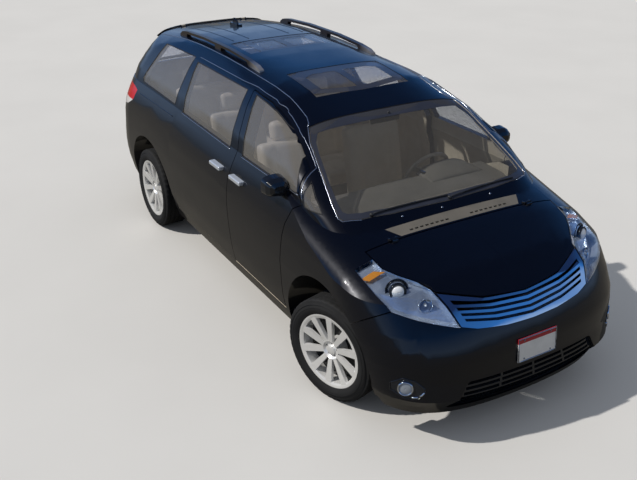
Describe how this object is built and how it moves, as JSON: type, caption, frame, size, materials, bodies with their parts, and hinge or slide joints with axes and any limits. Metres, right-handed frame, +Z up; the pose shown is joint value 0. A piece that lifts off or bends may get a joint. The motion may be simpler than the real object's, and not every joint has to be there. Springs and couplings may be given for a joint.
{
  "type": "minivan",
  "caption": "Seven-seat minivan body with hinged front doors, hood and tailgate, glass roof panels, roof rails and steered alloy wheels.",
  "frame": {"origin": "on the ground, in the middle of the overall length and width", "axes": "-Y to the nose, +X to the vehicle's left, +Z up"},
  "size_m": [2.1098, 4.9525, 1.7599],
  "materials": {
    "paint": "gloss",
    "glass": "clear, lightly tinted",
    "chrome": "polished",
    "black_plastic": "matte",
    "gloss_black": "gloss",
    "vent_grey": "matte",
    "lamp": "clear over chrome",
    "lamp_red": "gloss red and white",
    "tyre": "matte",
    "alloy": "bright, machined",
    "iron": "rough",
    "steel": "satin",
    "trim_beige": "smooth",
    "trim_grey": "matte",
    "rail": "satin",
    "plate": "satin"
  },
  "bodies": {
    "body": {"front_bumper": "paint", "rear_bumper": "paint", "fenders": "paint", "roof_panel": "paint", "side_frame_left": "paint", "side_frame_right": "paint", "sliding_doors": "paint", "cowl_panel": "paint", "windshield": "glass", "side_glass": "glass", "roof_glass": "glass", "grille": "chrome", "grille_core": "black_plastic", "lower_grille": "black_plastic", "cowl_vent": "vent_grey", "headlamps": "lamp", "fog_lamps": "lamp", "tail_lamps": "lamp_red", "sliding_door_handles": "chrome", "roof_rails": "rail", "antenna": "black_plastic", "wipers": "black_plastic", "front_plate": "plate", "floor_pan": "black_plastic", "engine_block": "iron", "front_subframe": "iron", "rear_axle_beam": "iron", "fuel_tank": "black_plastic", "exhaust": "steel", "dashboard": "trim_grey", "steering_wheel": "black_plastic", "seats": "trim_beige"},
    "hood": {"hood": "paint"},
    "tailgate": {"tailgate": "paint", "rear_glass": "glass", "spoiler": "paint"},
    "front_door_left": {"front_door_left": "paint", "front_door_glass_left": "glass", "mirror_left": "gloss_black", "front_door_handle_left": "chrome"},
    "knuckle_left": {"knuckle_left": "iron"},
    "wheel_front_left": {"tyre_front_left": "tyre", "rim_front_left": "alloy"},
    "wheel_rear_left": {"tyre_rear_left": "tyre", "rim_rear_left": "alloy"},
    "front_door_right": {"front_door_right": "paint", "front_door_glass_right": "glass", "mirror_right": "gloss_black", "front_door_handle_right": "chrome"},
    "knuckle_right": {"knuckle_right": "iron"},
    "wheel_front_right": {"tyre_front_right": "tyre", "rim_front_right": "alloy"},
    "wheel_rear_right": {"tyre_rear_right": "tyre", "rim_rear_right": "alloy"}
  },
  "joints": [
    {"name": "hood_hinge", "type": "hinge", "parent": "body", "child": "hood", "pos_m": [0, -1.709, 1.086], "axis": [-1, 0, 0], "range_deg": [0, 50]},
    {"name": "tailgate_hinge", "type": "hinge", "parent": "body", "child": "tailgate", "pos_m": [0, 2.077, 1.64], "axis": [1, 0, 0], "range_deg": [0, 80]},
    {"name": "front_door_left_hinge", "type": "hinge", "parent": "body", "child": "front_door_left", "pos_m": [0.987, -1.045, 0.75], "axis": [0, 0, -1], "range_deg": [0, 65]},
    {"name": "front_door_right_hinge", "type": "hinge", "parent": "body", "child": "front_door_right", "pos_m": [-0.987, -1.045, 0.75], "axis": [0, 0, 1], "range_deg": [0, 65]},
    {"name": "steering_left", "type": "hinge", "parent": "body", "child": "knuckle_left", "pos_m": [0.79, -1.5765, 0.355], "axis": [0, 0, 1], "range_deg": [-50, 20]},
    {"name": "wheel_front_left_spin", "type": "hinge", "parent": "knuckle_left", "child": "wheel_front_left", "pos_m": [0.79, -1.5765, 0.355], "axis": [0.9659, 0.2588, 0], "continuous": true},
    {"name": "wheel_rear_left_spin", "type": "hinge", "parent": "body", "child": "wheel_rear_left", "pos_m": [0.865, 1.4535, 0.355], "axis": [1, 0, 0], "continuous": true},
    {"name": "steering_right", "type": "hinge", "parent": "body", "child": "knuckle_right", "pos_m": [-0.79, -1.5765, 0.355], "axis": [0, 0, 1], "range_deg": [-50, 20]},
    {"name": "wheel_front_right_spin", "type": "hinge", "parent": "knuckle_right", "child": "wheel_front_right", "pos_m": [-0.79, -1.5765, 0.355], "axis": [0.9659, 0.2588, 0], "continuous": true},
    {"name": "wheel_rear_right_spin", "type": "hinge", "parent": "body", "child": "wheel_rear_right", "pos_m": [-0.865, 1.4535, 0.355], "axis": [1, 0, 0], "continuous": true}
  ],
  "couplings": [
    {"joint": "steering_right", "follows": "steering_left", "ratio": 1}
  ]
}
